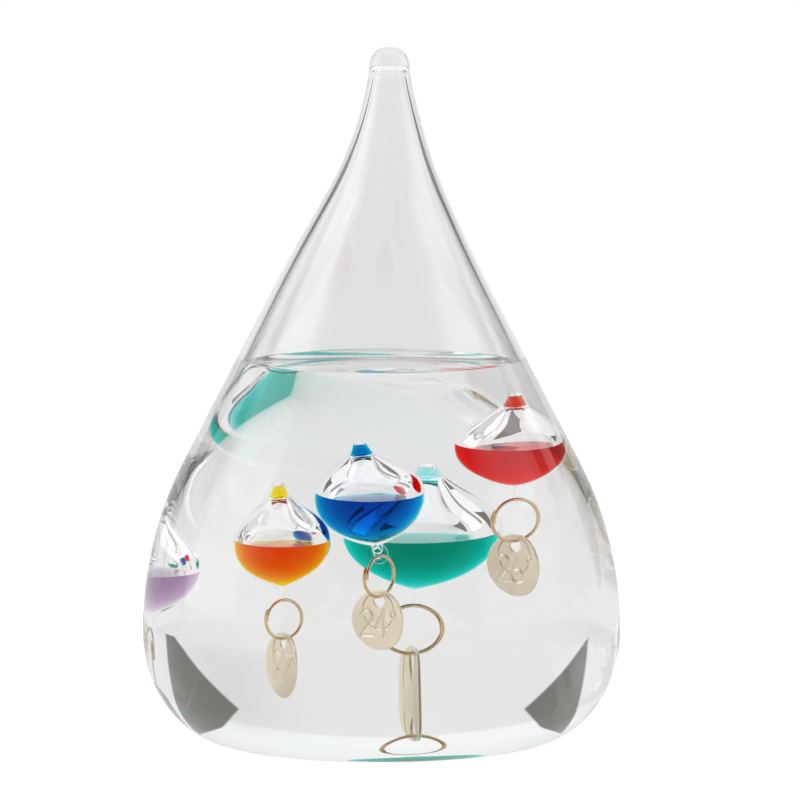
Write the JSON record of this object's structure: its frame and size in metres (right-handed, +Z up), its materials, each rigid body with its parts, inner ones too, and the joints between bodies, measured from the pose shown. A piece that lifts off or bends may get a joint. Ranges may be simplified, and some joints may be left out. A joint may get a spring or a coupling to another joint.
{
  "type": "galileo thermometer",
  "caption": "Drop-shaped sealed glass vessel of clear liquid with coloured glass floats, each on a wire ring with a hanging round degree tag.",
  "frame": {"origin": "centre of the flat foot, on the surface the vessel stands on", "axes": "+Z up along the vessel's own axis to its tip, +X to the right and -Y to the front"},
  "size_m": [0.102, 0.102, 0.148],
  "materials": {
    "vessel_glass": "gloss",
    "clear_liquid": "gloss",
    "float_glass": "gloss",
    "ring_wire": "polished",
    "tag_metal": "satin",
    "red_liquid": "gloss",
    "blue_liquid": "gloss",
    "orange_liquid": "gloss",
    "green_liquid": "gloss",
    "purple_liquid": "gloss"
  },
  "bodies": {
    "vessel": {"vessel_shell": "vessel_glass", "liquid_fill": "clear_liquid"},
    "red_float": {"red_bulb": "float_glass", "red_dye": "red_liquid", "red_neck_bead": "red_liquid"},
    "red_link": {"red_ring": "ring_wire"},
    "red_label": {"red_tag": "tag_metal"},
    "blue_float": {"blue_bulb": "float_glass", "blue_dye": "blue_liquid", "blue_neck_bead": "blue_liquid"},
    "blue_link": {"blue_ring": "ring_wire"},
    "blue_label": {"blue_tag": "tag_metal"},
    "orange_float": {"orange_bulb": "float_glass", "orange_dye": "orange_liquid", "orange_neck_bead": "orange_liquid"},
    "orange_link": {"orange_ring": "ring_wire"},
    "orange_label": {"orange_tag": "tag_metal"},
    "green_float": {"green_bulb": "float_glass", "green_dye": "green_liquid", "green_neck_bead": "green_liquid"},
    "green_link": {"green_ring": "ring_wire"},
    "green_label": {"green_tag": "tag_metal"},
    "purple_float": {"purple_bulb": "float_glass", "purple_dye": "purple_liquid", "purple_neck_bead": "purple_liquid"},
    "purple_link": {"purple_ring": "ring_wire"},
    "purple_label": {"purple_tag": "tag_metal"}
  },
  "joints": [
    {"name": "red_rise", "type": "slide", "parent": "vessel", "child": "red_float", "axis": [0, 0, 1], "range_m": [-0.0245, 0.0095], "deforming": ["liquid_fill"]},
    {"name": "red_ring_swing", "type": "hinge", "parent": "red_float", "child": "red_link", "pos_m": [0.0192, 0.0072, 0.0449], "axis": [-0.5878, 0.809, 0], "range_deg": [-20, 20], "deforming": ["liquid_fill"]},
    {"name": "red_tag_swing", "type": "hinge", "parent": "red_link", "child": "red_label", "pos_m": [0.0192, 0.0072, 0.0385], "axis": [0.809, 0.5878, 0], "range_deg": [-20, 20], "deforming": ["liquid_fill"]},
    {"name": "blue_rise", "type": "slide", "parent": "vessel", "child": "blue_float", "axis": [0, 0, 1], "range_m": [-0.016, 0.0185], "deforming": ["liquid_fill"]},
    {"name": "blue_ring_swing", "type": "hinge", "parent": "blue_float", "child": "blue_link", "pos_m": [-0.00034, -0.0071, 0.03742], "axis": [-0.788, 0.6157, 0], "range_deg": [-20, 20], "deforming": ["liquid_fill"]},
    {"name": "blue_tag_swing", "type": "hinge", "parent": "blue_link", "child": "blue_label", "pos_m": [-0.00034, -0.0071, 0.03102], "axis": [0.6157, 0.788, 0], "range_deg": [-20, 20], "deforming": ["liquid_fill"]},
    {"name": "orange_rise", "type": "slide", "parent": "vessel", "child": "orange_float", "axis": [0, 0, 1], "range_m": [-0.0115, 0.0235], "deforming": ["liquid_fill"]},
    {"name": "orange_ring_swing", "type": "hinge", "parent": "orange_float", "child": "orange_link", "pos_m": [-0.01697, -0.0193, 0.03123], "axis": [-0.4067, 0.9135, 0], "range_deg": [-20, 20], "deforming": ["liquid_fill"]},
    {"name": "orange_tag_swing", "type": "hinge", "parent": "orange_link", "child": "orange_label", "pos_m": [-0.01697, -0.0193, 0.02483], "axis": [0.9135, 0.4067, 0], "range_deg": [-20, 20], "deforming": ["liquid_fill"]},
    {"name": "green_rise", "type": "slide", "parent": "vessel", "child": "green_float", "axis": [0, 0, 1], "range_m": [-0.0025, 0.0215], "deforming": ["liquid_fill"]},
    {"name": "green_ring_swing", "type": "hinge", "parent": "green_float", "child": "green_link", "pos_m": [0.00347, 0.0309, 0.02373], "axis": [-0.3907, 0.9205, 0], "range_deg": [-12, 12], "deforming": ["liquid_fill"]},
    {"name": "green_tag_swing", "type": "hinge", "parent": "green_link", "child": "green_label", "pos_m": [0.00347, 0.0309, 0.01733], "axis": [0.9205, 0.3907, 0], "range_deg": [-15, 15], "deforming": ["liquid_fill"]},
    {"name": "purple_rise", "type": "slide", "parent": "vessel", "child": "purple_float", "axis": [0, 0, 1], "range_m": [-0.001, 0.012], "deforming": ["liquid_fill"]},
    {"name": "purple_ring_swing", "type": "hinge", "parent": "purple_float", "child": "purple_link", "pos_m": [-0.0348, 0.0093, 0.0221], "axis": [-0.9659, 0.2588, 0], "range_deg": [-12, 12], "deforming": ["liquid_fill"]},
    {"name": "purple_tag_swing", "type": "hinge", "parent": "purple_link", "child": "purple_label", "pos_m": [-0.0348, 0.0093, 0.0157], "axis": [0.2588, 0.9659, 0], "range_deg": [-10, 10], "deforming": ["liquid_fill"]}
  ]
}
